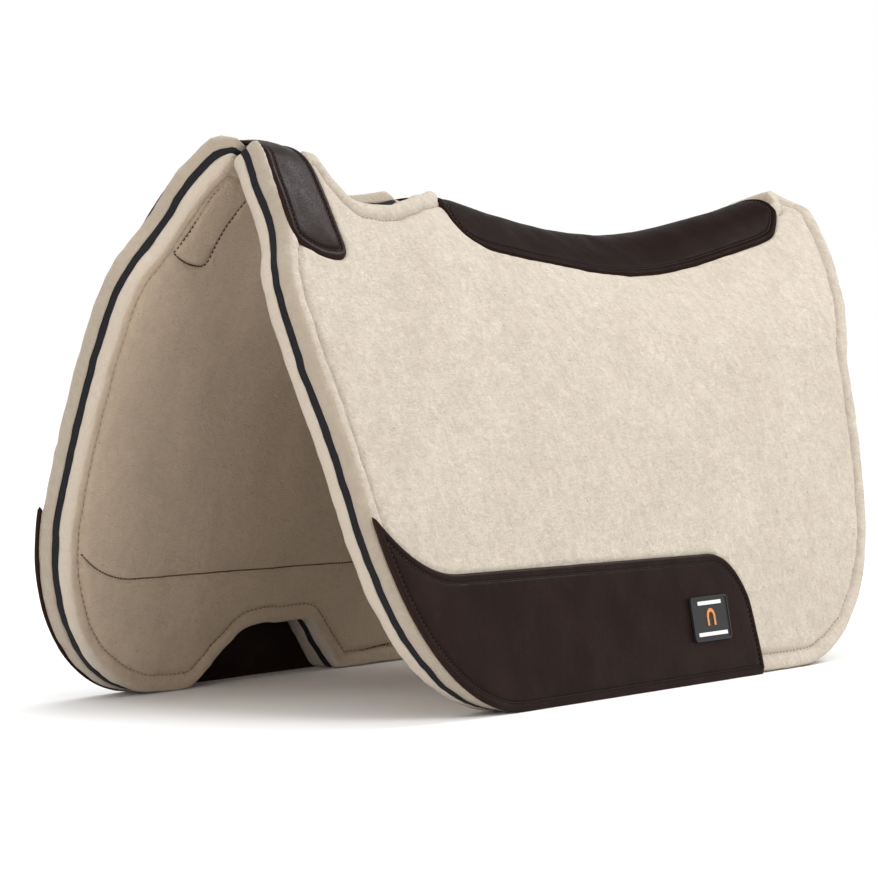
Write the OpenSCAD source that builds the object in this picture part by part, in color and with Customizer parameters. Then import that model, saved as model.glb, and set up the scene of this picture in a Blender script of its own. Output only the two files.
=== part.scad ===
// Contoured felt saddle pad: two flexible sides that meet along a curved ridge,
// three bonded layers on each side, and sewn-on wear leathers.
// Y runs along the horse's back with the front at -Y, and +X is the horse's left side.

/* [Pad] */
// Length of the ridge from its front end to its rear end
ridge_len = 756; // [740:1:780]
// Height of the front of the ridge above the bottom edges
ridge_front_z = 368; // [363:1:374]
// Height of the lowest point of the ridge above the bottom edges
ridge_dip_z = 306; // [300:0.5:312]
// Distance from the middle plane to the outer face at the flex line
flex_x = 98.5; // [93:0.5:102]
// Height of the flex line of each side above the bottom edges
flex_z = 212; // [206:1:216]
// Width of the soft zone left open along the flex line
flex_gap = 9; // [8:0.5:11]
// Lean of the outer face from upright at the flex line, in degrees
flex_lean = 21; // [19:0.5:23]
// Radius of the outer face below the flex line, seen from the front
flank_r = 900; // [850:10:1000]

/* [Layers] */
// Thickness of the outer wool felt
outer_felt_t = 11; // [10:0.5:12]
// Thickness of the black shock-absorbing core
core_t = 4.5; // [3.5:0.5:5]
// Thickness of the inner wool felt that lies on the horse
inner_felt_t = 9; // [8:0.5:10]
// Thickness of the leather pieces
leather_t = 3.2; // [2.6:0.1:3.6]
// Glue line between two layers
glue_gap = 0.2; // [0.1:0.05:0.3]

/* [Sides] */
// Radius of the two bottom corners of each side
corner_r = 150; // [130:5:160]
// Height of the relief notch in the felt's bottom edge
notch_h = 42; // [36:1:46]
// Length of the notch along the bottom edge
notch_len = 192; // [180:2:200]
// Distance from the front of the ridge to the front end of the notch
notch_y = 128; // [122:1:136]

/* [Wither opening] */
// Distance from the front of the ridge to the front end of the opening
hole_front = 58; // [54:1:62]
// Distance from the front of the ridge to the rear end of the opening
hole_rear = 212; // [204:1:216]

/* [Leather] */
// Length of the wear leather along the bottom edge
wear_len = 474; // [460:2:480]
// Height of the wear leather behind its front tip
wear_h = 87; // [80:1:92]
// Distance of the leather's stitches from its edge
leather_seam = 6; // [5:0.5:8]
// Distance of the felt's stitches from its edge
felt_seam = 12; // [10:0.5:14]

/* [Label] */
// Length of the rubber label
label_w = 54; // [46:1:58]
// Height of the rubber label
label_h = 31; // [26:1:34]
// Thickness of the label's base
label_t = 1.2; // [1:0.1:1.6]

/* [Hidden] */

// Depths of the layers below the outer face
core_depth = outer_felt_t + glue_gap;
inner_depth = core_depth + core_t + glue_gap;
pad_t = inner_depth + inner_felt_t;
// Height of the leather above the outer face, over the faceted crown and the round flank
crown_leather_lift = 0.45;
flank_leather_lift = glue_gap;

// Half of the gap between the left and the right side, which touch along their inner corners
ridge_half_gap = 0.15;
// Slope of the outer face beside the ridge, in degrees, at its front end and at its lowest point
ridge_tilt_front = 49;
ridge_tilt_dip = 32;
// Height of the leathers in the middle, where they bridge the groove along the ridge
crest = 1.5;

// Ridge line: distance from its front end, height, slope
RIDGE = [
    [0, ridge_front_z, -0.11],
    [150, ridge_front_z - 20, -0.19],
    [470, ridge_dip_z, 0],
    [640, ridge_dip_z + 15.5, 0.13],
    [800, ridge_dip_z + 36.5, 0.13]];

// Front edge of the crown: share of the cross-section, distance from the ridge's end, slope
FRONT_EDGE = [
    [0, -22, -20], [0.05, -23, -35], [0.12, -27, -65], [0.2, -31.7, -42],
    [0.28, -34.5, -35], [0.37, -38.5, -60], [0.43, -43, -105], [0.5, -51, -105],
    [0.55, -55.5, -75], [0.62, -59.3, -32], [0.74, -61.5, 0], [1, -60, 15]];

// Rows of the crown's mesh: 0 is the ridge and 1 is the flex line
ROWS = [0, 0.05, 0.12, 0.2, 0.28, 0.37, 0.46, 0.55, 0.66, 0.8, 0.9, 1];
// Columns of the crown's mesh, as distances along the ridge
COLUMNS = concat(
    [0, 14, 30, 48],
    [for (d = [0, 4, 10, 20, 36, 54]) hole_front + d],
    [for (d = [94, 78, 62, 46, 30, 14, 0]) hole_rear - d],
    [for (k = [1:13]) hole_rear + (ridge_len - hole_rear) * k / 13]);

// Widest half width of the wither opening, as a share of the cross-section
hole_half = 0.226;
// Length of the rounded front end and of the tapered rear end of the opening
hole_nose = 14;
hole_taper = 128;

// Angles of the flank's arc, from level: its centre, the flex line and the top of the flap
flank_cx = flex_x - flank_r * cos(flex_lean);
flank_cz = flex_z - flank_r * sin(flex_lean);
flap_top_angle = flex_lean - flex_gap / 2 / flank_r * 180 / PI;
flap_low_angle = 5;
// End of the crown's cross-section, half a gap above the flex line
crown_end = [flex_x - flex_gap / 2 * sin(flex_lean), flex_z + flex_gap / 2 * cos(flex_lean)];

// Side outline of a flap, seen from the side: front, front corner, rear corner, rear
FLAP = [[-62, 240], [-39.5, 0], [604, 0], [693, 240]];
FLAP_R = [0, corner_r, corner_r, 0];
// Outline of the relief notch, which is open at the bottom
NOTCH = [
    [notch_y, -20], [notch_y, 0], [notch_y + 0.3 * notch_len, notch_h],
    [notch_y + 0.75 * notch_len, notch_h], [notch_y + notch_len, 0], [notch_y + notch_len, -20]];
NOTCH_R = [0, 10, 36, 22, 10, 0];
// Outline of the wear leather: the felt's front edge, a little proud of it, and its own top edge
wear_proud = 1.5;
wear_tip_z = 131;
WEAR_FRONT = [
    FLAP[0] - [wear_proud, 0], FLAP[1] - [wear_proud, 0], [wear_len, 0], [wear_len, FLAP[0][1]]];
WEAR_FRONT_R = [0, corner_r + wear_proud, 0, 0];
WEAR_TOP = [
    [-80, wear_h + 69], [-80, -20], [wear_len - 35, -20], [wear_len - 54, wear_h - 1],
    [-7, wear_h + 5]];
WEAR_TOP_R = [0, 0, 0, 52, 120];

// Wither strap from the ridge to its end: share of the cross-section, front and rear side
STRAP = [
    [0, -17.5, 34.5], [0.05, -18.7, 34], [0.1, -21.8, 33], [0.15, -25.5, 30.5], [0.2, -28.5, 28],
    [0.28, -31.7, 25], [0.36, -35.3, 23], [0.42, -38.2, 21.5], [0.45, -35.5, 21],
    [0.475, -29.5, 20], [0.5, -18, 18], [0.519, -3, 13]];
// Front and rear side of the strap in the middle
strap_middle = [-9, 40];
// Front end, rear end and half width of the spine leather
SPINE_FRONT = [[0, 203, -25], [0.4, 197, 0], [0.7, 199.5, 20], [0.9, 207, 80], [1, 230, 450]];
SPINE_REAR = [[0, 713, -10], [0.35, 706, -35], [0.7, 690, -70], [0.9, 677, -110], [1, 652, -450]];
SPINE_HALF = [
    [0, 0.342, 0.06], [0.2, 0.347, 0.04], [0.42, 0.362, 0], [0.64, 0.32, -0.27], [1, 0.232, -0.2]];
// Front and rear end of the spine leather in the middle
spine_middle = [226, 722];

// Stitching lines stand in for rows of stitches
thread_w = 1.4;
thread_t = 0.6;
thread_lift = 0.25;
seam_w = 2.4;
// Stitches on the inner face, over the faceted crown
inner_thread_depth = pad_t + 0.4;
// Distance of the front edge's stitches from the edge, along the ridge
front_seam = 0.8 * felt_seam;

// Middle of the pad from front to rear
mid_y = (ridge_len + min([for (u = ROWS) along(FRONT_EDGE, u)])) / 2;

felt_colour = [0.86, 0.82, 0.74];
inner_felt_colour = [0.72, 0.68, 0.6];
core_colour = [0.05, 0.05, 0.06];
leather_colour = [0.17, 0.1, 0.08];
dark_thread = [0.08, 0.06, 0.05];
tan_thread = [0.45, 0.34, 0.22];

// ---- Curves ----

// Number of the stretch of a knot list that holds x
function stretch(knots, x, i = 0) =
    (i >= len(knots) - 2 || x < knots[i + 1][0]) ? i : stretch(knots, x, i + 1);

// Smooth curve through knots of the form [x, value, slope]
function along(knots, x) =
    let (i = stretch(knots, x), a = knots[i], b = knots[i + 1], h = b[0] - a[0],
         t = (x - a[0]) / h)
    a[1] * (2 * t^3 - 3 * t^2 + 1) + a[2] * h * (t^3 - 2 * t^2 + t)
    + b[1] * (3 * t^2 - 2 * t^3) + b[2] * h * (t^3 - t^2);

// Smooth step from 0 at a to 1 at b
function ease(a, b, x) = let (t = max(0, min(1, (x - a) / (b - a)))) t * t * (3 - 2 * t);

// Rounds the corners of an outline, each with its own radius
function rounded(p, r, n = 10) = [
    for (i = [0:len(p) - 1])
        let (b = p[i], a = p[(i + len(p) - 1) % len(p)], c = p[(i + 1) % len(p)],
             ua = (a - b) / norm(a - b), uc = (c - b) / norm(c - b),
             half = acos(max(-1, min(1, ua * uc))) / 2,
             m = b + (ua + uc) / norm(ua + uc) * r[i] / sin(half),
             pa = b + ua * r[i] / tan(half) - m, pc = b + uc * r[i] / tan(half) - m,
             ang = atan2(pa[1], pa[0]),
             turn = atan2(pa[0] * pc[1] - pa[1] * pc[0], pa * pc))
        each r[i] == 0 ? [b]
            : [for (k = [0:n]) m + r[i] * [cos(ang + turn * k / n), sin(ang + turn * k / n)]]];

// Direction to the left of a line from a to b
function left_of(a, b) = let (d = (b - a) / norm(b - a)) [-d[1], d[0]];

// Moves the corners of an anticlockwise outline inwards by d
function inset(p, d) = [
    for (i = [0:len(p) - 1])
        let (b = p[i], a = p[(i + len(p) - 1) % len(p)], c = p[(i + 1) % len(p)],
             n1 = left_of(a, b), n2 = left_of(b, c))
        b + (n1 + n2) * d / (1 + n1 * n2)];

// ---- Surfaces ----
// A point on the crown is given by y0, the distance along the ridge, and by u, the share of the
// cross-section from the ridge to the flex line. A negative u is on the right side.

function crown_y(y0, u) =
    y0 + along(FRONT_EDGE, abs(u)) * (1 - ease(0, 90, y0))
    - (20 * abs(u) + 53 * u^2) * ease(600, ridge_len, y0);

// Corners of the cross-section's curve at y, from the ridge to the flex line
function section(y) =
    let (top = along(RIDGE, y),
         tilt = ridge_tilt_dip + (ridge_tilt_front - ridge_tilt_dip)
             * (top - ridge_dip_z) / (ridge_front_z - ridge_dip_z),
         start = [ridge_half_gap + pad_t * sin(tilt), top], reach = norm(crown_end - start) / 3)
    [start, start + reach * [cos(tilt), -sin(tilt)],
     crown_end + reach * [-sin(flex_lean), cos(flex_lean)], crown_end];

function bezier(p, t) =
    p[0] * (1 - t)^3 + p[1] * 3 * t * (1 - t)^2 + p[2] * 3 * t^2 * (1 - t) + p[3] * t^3;
function bezier_normal(p, t) =
    let (d = (p[1] - p[0]) * (1 - t)^2 + (p[2] - p[1]) * 2 * t * (1 - t) + (p[3] - p[2]) * t^2)
    [-d[1], d[0]] / norm(d);

// Outward direction, and the point at a depth below the outer face
function crown_normal(y, u) =
    let (n = bezier_normal(section(y), abs(u))) [u < 0 ? -n[0] : n[0], 0, n[1]];
function crown_at(y, u, depth) =
    let (p = section(y), q = bezier(p, abs(u)) - depth * bezier_normal(p, abs(u)))
    [u < 0 ? -q[0] : q[0], y, q[1]];
function crown(y0, u, depth) = crown_at(crown_y(y0, u), u, depth);

// The same for the flank, where z is the height on the outer face
function flank_angle(z) = asin((z - flank_cz) / flank_r);
function flank_normal(z) = [cos(flank_angle(z)), 0, sin(flank_angle(z))];
function flank(y, z, depth) =
    [flank_cx, y, flank_cz] + (flank_r - depth) * flank_normal(z);

// Edge of the wither opening at y0, or of a line that runs a distance out from it
function hole_edge(y0, out = 0) =
    let (front = hole_front - out, rear = hole_rear + 1.2 * out, half = hole_half + 0.0056 * out,
         nose = hole_nose + out, s = min(1, (y0 - front) / nose),
         taper = max(0, (y0 - rear + hole_taper + out) / (hole_taper + out)))
    (y0 <= front || y0 >= rear) ? 0
        : half * sqrt(1 - (1 - s)^2) * (0.5 + 0.5 * cos(180 * min(1, taper)))^0.8;

// ---- Solids ----

// Closed shell between an outer and an inner grid of points
module slab(outer, inner) {
    n = len(outer);
    m = len(outer[0]);
    back = n * m;
    faces = concat(
        [for (i = [0:n - 2], j = [0:m - 2]) each
            let (a = i * m + j, b = a + m)
            [[a, b, b + 1], [a, b + 1, a + 1],
             [back + a, back + b + 1, back + b], [back + a, back + a + 1, back + b + 1]]],
        [for (i = [0:n - 2]) each
            let (a = i * m, b = a + m, c = a + m - 1, d = b + m - 1)
            [[b, a, back + a], [b, back + a, back + b],
             [c, d, back + d], [c, back + d, back + c]]],
        [for (j = [0:m - 2]) each
            let (a = j, c = (n - 1) * m + j)
            [[a, a + 1, back + a + 1], [a, back + a + 1, back + a],
             [c + 1, c, back + c], [c + 1, back + c, back + c + 1]]]);
    polyhedron(concat([for (row = outer) each row], [for (row = inner) each row]), faces);
}

// Adds points to a path, so that a thread on it follows the round flank
function refined(path) = concat(
    [for (i = [0:len(path) - 2])
        let (n = ceil(abs(path[i + 1][1] - path[i][1]) / 25 + 0.01))
        for (k = [0:n - 1]) path[i] + (path[i + 1] - path[i]) * k / n],
    [path[len(path) - 1]]);

// Flat thread along a line of points, each with its outward direction
module thread(points, normals, closed = false, w = thread_w) {
    n = len(points);
    rings = [
        for (i = [0:n - 1])
            let (a = points[closed ? (i + n - 1) % n : max(0, i - 1)],
                 b = points[closed ? (i + 1) % n : min(n - 1, i + 1)],
                 side = cross(b - a, normals[i]), half = side / norm(side) * w / 2,
                 low = points[i] + normals[i] * thread_lift, high = low + normals[i] * thread_t)
            each [low - half, low + half, high + half, high - half]];
    faces = concat(
        [for (i = [0:closed ? n - 1 : n - 2], k = [0:3]) each
            let (a = 4 * i, b = 4 * ((i + 1) % n), l = (k + 1) % 4)
            [[a + k, b + k, b + l], [a + k, b + l, a + l]]],
        closed ? [] : [[0, 1, 2, 3], [4 * n - 1, 4 * n - 2, 4 * n - 3, 4 * n - 4]]);
    polyhedron(rings, faces);
}

// Thread along crown points [y0, u], on the outer face or on the inner face
module crown_thread(path, depth) {
    way = depth > core_depth ? -1 : 1;
    thread([for (p = path) crown(p[0], p[1], depth)],
        [for (p = path) way * crown_normal(crown_y(p[0], p[1]), p[1])]);
}

// Thread along flank points [y, z]
module flank_thread(path, depth, closed = false) {
    way = depth > core_depth ? -1 : 1;
    fine = refined(path);
    thread([for (p = fine) flank(p[0], p[1], depth)],
        [for (p = fine) way * flank_normal(p[1])], closed);
}

// Puts a left-hand piece on the left (side 1) or on the right (side -1)
module on_side(side) {
    if (side > 0) children();
    else mirror([1, 0, 0]) children();
}

// Moves the pad's frame, which starts at the front of the ridge, to its middle
module placed() {
    translate([0, -mid_y, 0]) children();
}

// One layer of the crown's left side
module crown_layer(depth, t) {
    grid = [for (y0 = COLUMNS)
        let (u0 = hole_edge(y0))
        [for (r = ROWS) [y0, u0 + (1 - u0) * r]]];
    slab([for (row = grid) [for (g = row) crown(g[0], g[1], depth)]],
        [for (row = grid) [for (g = row) crown(g[0], g[1], depth + t)]]);
}

// Prism across the pad with a side outline
module side_prism(outline) {
    rotate([90, 0, 90]) linear_extrude(flank_r / 3) polygon(outline);
}

// One round layer of the left flank, cut to a side outline
module flank_layer(depth, t, outline) {
    intersection() {
        translate([flank_cx, 0, flank_cz]) rotate([90, -flap_low_angle, 0])
            rotate_extrude(angle = flap_top_angle - flap_low_angle, $fn = 360)
                translate([flank_r - depth - t, -ridge_len]) square([t, ridge_len + 100]);
        side_prism(outline);
    }
}

module felt_flap(depth, t) {
    difference() {
        flank_layer(depth, t, rounded(FLAP, FLAP_R));
        side_prism(rounded(NOTCH, NOTCH_R, 6));
    }
}

// ---- Leather and stitching over the ridge ----

// Point of a leather at y: its middle bridges the groove, and its sides lie on the felt.
// The side is -1, 0 in the middle, or 1.
function leather_at(y, u, side, lift) =
    let (p = crown_at(y, u, -crown_leather_lift - lift))
    side == 0 ? [0, y, along(RIDGE, y) + crown_leather_lift + lift + crest]
        : [side * p[0], p[1], p[2]];

// Rows of a leather, from its right side to its left side, from rows of its left side
function both_sides(rows, middle) =
    concat([for (i = [len(rows) - 1:-1:0]) [-1, rows[i]]], [[0, middle]],
        [for (row = rows) [1, row]]);

strap_rows = both_sides(STRAP, [0, strap_middle[0], strap_middle[1]]);

module wither_strap() color(leather_colour) placed() {
    rows = [for (lift = [leather_t, 0])
        [for (s = [0:3]) [for (r = strap_rows)
            leather_at(r[1][1] + s / 3 * (r[1][2] - r[1][1]), r[1][0], r[0], lift)]]];
    slab(rows[0], rows[1]);
}

// Line of the strap's stitches on its left half, from the front of the ridge round to the rear
strap_seam = concat(
    [for (r = STRAP) if (r[0] < 0.43) [r[1] + leather_seam, r[0]]],
    [[-26, 0.453], [-17, 0.471], [-6, 0.484], [4, 0.489], [10, 0.48]],
    [for (i = [len(STRAP) - 4:-1:0]) [STRAP[i][2] - leather_seam, STRAP[i][0]]]);

// Where the strap's stitches come through, behind those of the felt's front edge
strap_back_seam = [
    for (p = strap_seam)
        if (p[1] > 0.05) [max(p[0], crown_y(front_seam, p[1]) + 4), p[1]]];

module wither_strap_stitching() color(dark_thread) placed()
    for (side = [1, -1])
        on_side(side) {
            thread([for (p = strap_seam) leather_at(p[0], p[1], 1, leather_t)],
                [for (p = strap_seam) crown_normal(p[0], p[1])]);
            thread([for (p = strap_back_seam) crown_at(p[0], p[1], pad_t)],
                [for (p = strap_back_seam) -crown_normal(p[0], p[1])]);
        }

// Point of the spine leather: a runs from the ridge to its side and b from front to rear
function spine_point(a, b, grow = 0) =
    let (front = along(SPINE_FRONT, a) + grow, rear = along(SPINE_REAR, a) - grow,
         half = along(SPINE_HALF, b) - 0.0058 * grow)
    [front + b * (rear - front), a * half];

spine_rows = both_sides([0, 0.2, 0.4, 0.6, 0.8, 0.93, 1], 0);

module spine_leather() color(leather_colour) placed() {
    grids = [for (lift = [leather_t, 0])
        [for (k = [0:14]) [for (r = spine_rows)
            let (b = k / 14, p = r[0] == 0
                ? [spine_middle[0] + b * (spine_middle[1] - spine_middle[0]), 0]
                : spine_point(r[1], b))
            leather_at(p[0], p[1], r[0], lift)]]];
    slab(grids[0], grids[1]);
}

spine_seam = concat(
    [for (a = [0.04, 0.2, 0.4, 0.6, 0.8]) spine_point(a, 0, leather_seam)],
    [for (b = [0:1 / 12:1]) spine_point(0.97, b, leather_seam)],
    [for (a = [0.8, 0.6, 0.4, 0.2, 0.04]) spine_point(a, 1, leather_seam)]);

module spine_leather_stitching() color(dark_thread) placed()
    for (side = [1, -1])
        on_side(side) {
            thread([for (p = spine_seam) leather_at(p[0], p[1], 1, leather_t)],
                [for (p = spine_seam) crown_normal(p[0], p[1])]);
            thread([for (p = spine_seam) crown_at(p[0], p[1], pad_t)],
                [for (p = spine_seam) -crown_normal(p[0], p[1])]);
        }

// Threads that join the two sides, in the groove in front of the opening and behind it
seam_rise = 3;
module ridge_seam_stitching() color(tan_thread) placed()
    for (run = [[-20, hole_front - 10], [hole_rear + 3, ridge_len - 3]]) {
        ys = [for (k = [0:12]) run[0] + (run[1] - run[0]) * k / 12];
        thread([for (y = ys) [0, y, crown_at(y, 0, pad_t)[2] + seam_rise]],
            [for (y = ys) [0, 0, 1]], false, seam_w);
    }

// ---- Crown ----

module crown_outer_felt(side) color(felt_colour) placed() on_side(side)
    crown_layer(0, outer_felt_t);
module crown_core(side) color(core_colour) placed() on_side(side)
    crown_layer(core_depth, core_t);
module crown_inner_felt(side) color(inner_felt_colour) placed() on_side(side)
    crown_layer(inner_depth, inner_felt_t);

// Stitches along the front edge, the wither opening and the rear edge
module crown_edge_stitching(side) color(tan_thread) placed() on_side(side) {
    rear = ridge_len - felt_seam;
    hole_line = [for (y0 = concat([hole_front - felt_seam + 1, hole_front - felt_seam + 5],
        [for (k = [0:9]) hole_front + 12 * k])) [y0, hole_edge(y0, felt_seam)]];
    for (face = [[0, 0.56, 0.01], [inner_thread_depth, 0.03, 0.03]]) {
        crown_thread([for (k = [0:9]) [front_seam, face[1] + (0.99 - face[1]) * k / 9]], face[0]);
        crown_thread([for (k = [0:12]) [rear, face[2] + (0.99 - face[2]) * k / 12]], face[0]);
        crown_thread([for (p = hole_line) if (p[1] > 0.07) p], face[0]);
    }
}

// ---- Flaps ----

module flap_outer_felt(side) color(felt_colour) placed() on_side(side)
    felt_flap(0, outer_felt_t);
module flap_core(side) color(core_colour) placed() on_side(side)
    felt_flap(core_depth, core_t);
module flap_inner_felt(side) color(inner_felt_colour) placed() on_side(side)
    felt_flap(inner_depth, inner_felt_t);

// Line of the felt's stitches: down the front, along the bottom and up the rear
seam_corners = inset(FLAP, felt_seam);
seam_top = flex_z - flex_gap / 2 - 2;
seam_low = felt_seam;
seam_line = let (r = corner_r - felt_seam,
        line = rounded(seam_corners, [0, r, r, 0], 8), n = len(line))
    [for (i = [0:n - 1]) i == 0 ? meet(line[0], line[1], seam_top)
        : i == n - 1 ? meet(line[n - 1], line[n - 2], seam_top) : line[i]];
// Point at height z on the line through a and b
function meet(a, b, z) = b + (a - b) * (z - b[1]) / (a[1] - b[1]);

// The same line with a detour round the notch
notch_seam = let (p = inset([for (i = [len(NOTCH) - 1:-1:0]) NOTCH[i]], felt_seam))
    rounded([
        [p[4][0] - felt_seam, seam_low], meet(p[3], p[4], seam_low), p[3], p[2],
        meet(p[2], p[1], seam_low), [p[1][0] + felt_seam, seam_low]],
        [0, 4, NOTCH_R[2] + felt_seam, NOTCH_R[3] + felt_seam, 4, 0], 5);

module flap_edge_stitching(side) color(tan_thread) placed() on_side(side) {
    front = [for (p = seam_line) if (p[0] < notch_y) p];
    rear = [for (p = seam_line) if (p[0] > notch_y) p];
    flank_thread([front[0], meet(front[0], front[1], wear_tip_z + 8)], 0);
    flank_thread(concat([[wear_len - 30, seam_low]], rear), 0);
    flank_thread(concat(front, notch_seam, rear), pad_t);
}

module wear_leather(side) color(leather_colour) placed() on_side(side)
    intersection() {
        flank_layer(-flank_leather_lift - leather_t, leather_t, rounded(WEAR_FRONT, WEAR_FRONT_R));
        side_prism(rounded(WEAR_TOP, WEAR_TOP_R));
    }

// Stitches round the leather, and where they come through on the inner felt
wear_seam_front = [
    for (p = rounded(inset(FLAP, leather_seam), [0, corner_r - leather_seam, 0, 0], 8))
        if (p[0] < corner_r && p[1] < wear_tip_z - 19) p];
wear_seam_rear = let (p = inset(WEAR_TOP, leather_seam)) meet(p[2], p[3], leather_seam);
wear_seam_top = [
    for (p = rounded(inset(WEAR_TOP, leather_seam), [0, 0, 0, 52 - leather_seam, 126], 8))
        if (p[0] > FLAP[1][0] - 3 && p[1] > 0) p];

module wear_leather_stitching(side) color(dark_thread) placed() on_side(side) {
    flank_thread(concat(wear_seam_front, [wear_seam_rear], wear_seam_top),
        -flank_leather_lift - leather_t, true);
    flank_thread(concat([wear_seam_rear + [0, felt_seam]],
        [for (p = wear_seam_top) if (p[0] > 2 * felt_seam + FLAP[1][0]) p]), pad_t);
}

// ---- Label ----

label_y = 359;
label_z = 43;
label_corner = 3;
label_rim = 1.5;
label_rim_t = 0.5;
label_lift = 0.4;
mark_t = 0.4;
mark_gap = 0.05;

module on_label() {
    depth = -flank_leather_lift - leather_t - label_lift;
    translate(flank(label_y, label_z, depth)) rotate([0, -flank_angle(label_z), 0])
        rotate([90, 0, 90]) children();
}

module round_plate(w, h, r) {
    polygon(rounded([[-w / 2, -h / 2], [w / 2, -h / 2], [w / 2, h / 2], [-w / 2, h / 2]],
        [r, r, r, r], 6));
}

module label_patch(side) color(core_colour) placed() on_side(side) on_label() {
    linear_extrude(label_t) round_plate(label_w, label_h, label_corner);
    translate([0, 0, label_t]) linear_extrude(label_rim_t) difference() {
        round_plate(label_w, label_h, label_corner);
        round_plate(label_w - 2 * label_rim, label_h - 2 * label_rim, label_corner - label_rim);
    }
}

// Plain horseshoe in the middle of the label
shoe_r = 6;
shoe_w = 2.4;
shoe_y = 1;

module label_emblem(side) color([0.85, 0.45, 0.12]) placed() on_side(side) on_label()
    translate([0, shoe_y, label_t + mark_gap]) linear_extrude(mark_t) difference() {
        union() {
            circle(shoe_r, $fn = 48);
            translate([-shoe_r, -shoe_r]) square([2 * shoe_r, shoe_r]);
        }
        circle(shoe_r - shoe_w, $fn = 48);
        translate([shoe_w - shoe_r, -shoe_r - 1]) square([2 * (shoe_r - shoe_w), shoe_r + 1]);
    }

// Plain bars above and below the horseshoe
bar_h = 2.6;

module label_bars(side) color([0.9, 0.9, 0.88]) placed() on_side(side) on_label()
    translate([0, 0, label_t + mark_gap]) linear_extrude(mark_t)
        for (bar = [[34, label_h / 2 - 4.6], [42, 4.8 - label_h / 2]])
            translate([-bar[0] / 2, bar[1] - bar_h / 2]) square([bar[0], bar_h]);

wither_strap();
wither_strap_stitching();
spine_leather();
spine_leather_stitching();
ridge_seam_stitching();
crown_outer_felt(1);  // crown_outer_felt_left
crown_core(1);  // crown_core_left
crown_inner_felt(1);  // crown_inner_felt_left
crown_edge_stitching(1);  // crown_edge_stitching_left
crown_outer_felt(-1);  // crown_outer_felt_right
crown_core(-1);  // crown_core_right
crown_inner_felt(-1);  // crown_inner_felt_right
crown_edge_stitching(-1);  // crown_edge_stitching_right
flap_outer_felt(1);  // flap_outer_felt_left
flap_core(1);  // flap_core_left
flap_inner_felt(1);  // flap_inner_felt_left
flap_edge_stitching(1);  // flap_edge_stitching_left
wear_leather(1);  // wear_leather_left
wear_leather_stitching(1);  // wear_leather_stitching_left
label_patch(1);  // label_patch_left
label_emblem(1);  // label_emblem_left
label_bars(1);  // label_bars_left
flap_outer_felt(-1);  // flap_outer_felt_right
flap_core(-1);  // flap_core_right
flap_inner_felt(-1);  // flap_inner_felt_right
flap_edge_stitching(-1);  // flap_edge_stitching_right
wear_leather(-1);  // wear_leather_right
wear_leather_stitching(-1);  // wear_leather_stitching_right
label_patch(-1);  // label_patch_right
label_emblem(-1);  // label_emblem_right
label_bars(-1);  // label_bars_right
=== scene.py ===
import math

import bpy
import numpy as np
from mathutils import Matrix, Vector, kdtree
from mathutils.geometry import delaunay_2d_cdt


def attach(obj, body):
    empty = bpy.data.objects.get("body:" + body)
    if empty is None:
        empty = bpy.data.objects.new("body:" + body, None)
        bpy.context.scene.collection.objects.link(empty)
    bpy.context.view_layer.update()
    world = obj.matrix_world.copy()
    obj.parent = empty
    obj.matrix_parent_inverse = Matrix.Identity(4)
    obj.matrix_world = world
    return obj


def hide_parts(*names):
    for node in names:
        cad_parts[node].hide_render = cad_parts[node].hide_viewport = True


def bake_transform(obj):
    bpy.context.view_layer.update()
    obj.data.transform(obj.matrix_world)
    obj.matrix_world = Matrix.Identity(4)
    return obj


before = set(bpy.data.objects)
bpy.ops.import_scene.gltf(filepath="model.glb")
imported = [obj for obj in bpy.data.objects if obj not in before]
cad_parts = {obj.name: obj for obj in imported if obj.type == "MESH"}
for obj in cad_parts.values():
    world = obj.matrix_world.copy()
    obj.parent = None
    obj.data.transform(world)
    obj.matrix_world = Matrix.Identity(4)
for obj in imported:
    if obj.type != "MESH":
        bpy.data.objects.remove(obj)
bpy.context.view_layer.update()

# Shape of the pad, in millimetres, as in the CAD source. y runs back from the front of the ridge.
RIDGE_LEN, FRONT_Z, DIP_Z = 756.0, 368.0, 306.0
# A point of the flex line, the hinge's gap, and the lean and radius of the flank below it
FLEX_X, FLEX_Z, FLEX_GAP, LEAN, FLANK_R = 98.5, 212.0, 9.0, math.radians(21), 900.0
OUTER_T, CORE_T, INNER_T, LEATHER_T = 11.0, 4.5, 9.0, 3.2
PAD_T = OUTER_T + CORE_T + INNER_T + 0.4
CORNER_R, SEAM, LEATHER_SEAM = 150.0, 12.0, 6.0
HOLE_FRONT, HOLE_REAR, HOLE_HALF, HOLE_NOSE, HOLE_TAPER = 58.0, 212.0, 0.226, 14.0, 128.0
WEAR_LEN, WEAR_H, WEAR_PROUD = 474.0, 87.0, 1.5
MID_Y = (RIDGE_LEN - 61.5) / 2
TILT_FRONT, TILT_DIP = math.radians(49), math.radians(32)
# Knots (place, value, slope): height of the ridge over y, then y of the front edge over u.
# u is a place on the crown's cross-section as a share of its curve, 0 at the ridge.
RIDGE = [
    [0, FRONT_Z, -0.11], [150, FRONT_Z - 20, -0.19], [470, DIP_Z, 0],
    [640, DIP_Z + 15.5, 0.13], [720, DIP_Z + 28.6, 0.19], [800, DIP_Z + 45, 0.2],
]
FRONT_EDGE = [
    [0, -22, -20], [0.05, -23, -35], [0.12, -27, -65], [0.2, -31.7, -42], [0.28, -34.5, -35],
    [0.37, -38.5, -60], [0.43, -43, -105], [0.5, -51, -105], [0.55, -55.5, -75],
    [0.62, -59.3, -32], [0.74, -61.5, 0], [1, -60, 15],
]
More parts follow.
